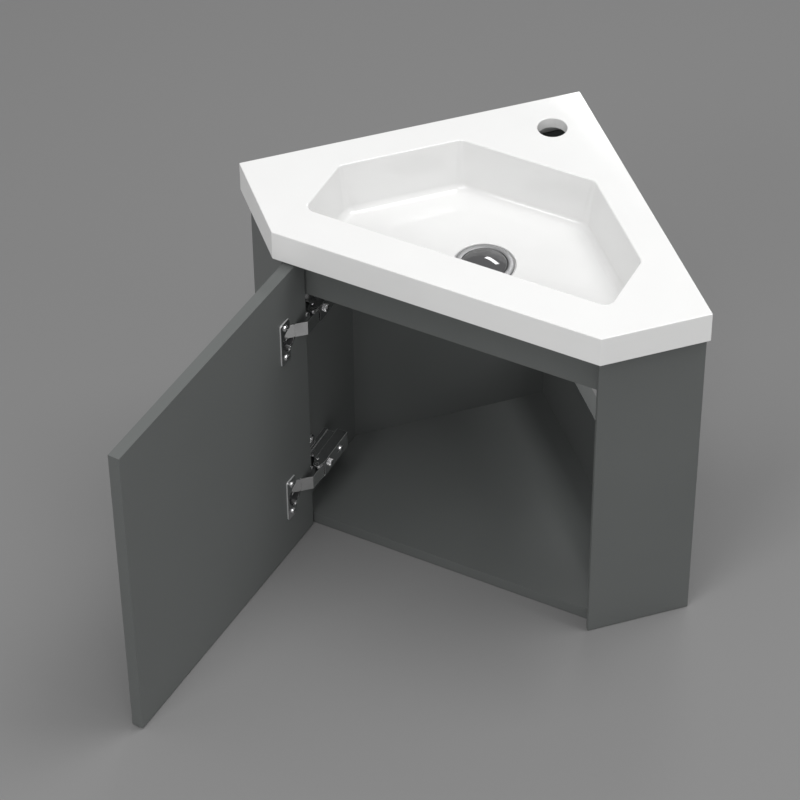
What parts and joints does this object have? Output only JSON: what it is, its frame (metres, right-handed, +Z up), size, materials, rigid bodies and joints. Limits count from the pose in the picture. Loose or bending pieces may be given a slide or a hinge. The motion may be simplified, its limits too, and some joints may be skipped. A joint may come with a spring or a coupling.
{
  "type": "corner vanity unit",
  "caption": "Corner vanity unit: a five-sided ceramic wash basin with tap hole and waste on a grey corner cabinet with a hinged front door on concealed cup hinges.",
  "frame": {"origin": "on the axis of the basin waste, at the level of the underside of the cabinet floor", "axes": "+X to the right along the front, +Y from the front towards the wall corner, +Z up"},
  "size_m": [0.594, 0.7488, 0.476],
  "materials": {
    "ceramic": "gloss white glaze",
    "chrome": "polished",
    "dark_chrome": "polished, dark",
    "steel": "satin",
    "satin_steel": "satin",
    "hinge_chrome": "polished",
    "rubber": "matte",
    "grey_lacquer": "satin grey lacquer on board",
    "beech": "bare"
  },
  "bodies": {
    "cabinet": {"basin_deck": "ceramic", "basin_bowl": "ceramic", "waste_flange": "chrome", "waste_spider": "steel", "flange_gasket": "rubber", "tail_gasket": "rubber", "tail_nut": "steel", "left_back_panel": "grey_lacquer", "left_side_panel": "grey_lacquer", "right_side_panel": "grey_lacquer", "left_return": "grey_lacquer", "right_return": "grey_lacquer", "header_rail": "grey_lacquer", "floor_panel": "grey_lacquer", "right_low_rail": "grey_lacquer", "right_fixing_rail": "grey_lacquer", "panel_dowels": "beech", "upper_hinge_arm": "hinge_chrome", "lower_hinge_arm": "hinge_chrome", "upper_mounting_plate": "hinge_chrome", "lower_mounting_plate": "hinge_chrome", "hinge_pins": "hinge_chrome", "arm_adjusting_screws": "hinge_chrome", "arm_fixing_screws": "hinge_chrome", "plate_screws": "hinge_chrome"},
    "door": {"door_panel": "grey_lacquer", "upper_hinge_cup": "hinge_chrome", "lower_hinge_cup": "hinge_chrome", "cup_screws": "hinge_chrome"},
    "upper_link": {"upper_hinge_link": "satin_steel"},
    "lower_link": {"lower_hinge_link": "satin_steel"},
    "plug": {"waste_plug": "dark_chrome"}
  },
  "joints": [
    {"name": "door_swing", "type": "hinge", "parent": "cabinet", "child": "door", "pos_m": [-0.1842, -0.1152, 0], "axis": [0, 0, 1], "range_deg": [0, 93]},
    {"name": "upper_link_turn", "type": "hinge", "parent": "cabinet", "child": "upper_link", "pos_m": [-0.1718, -0.1018, 0], "axis": [0, 0, 1], "range_deg": [0, 93]},
    {"name": "lower_link_turn", "type": "hinge", "parent": "cabinet", "child": "lower_link", "pos_m": [-0.1718, -0.1018, 0], "axis": [0, 0, 1], "range_deg": [0, 93]},
    {"name": "plug_lift", "type": "slide", "parent": "cabinet", "child": "plug", "axis": [0, 0, 1], "range_m": [0, 0.008]}
  ],
  "couplings": [
    {"joint": "upper_link_turn", "follows": "door_swing", "ratio": 1},
    {"joint": "lower_link_turn", "follows": "door_swing", "ratio": 1}
  ]
}
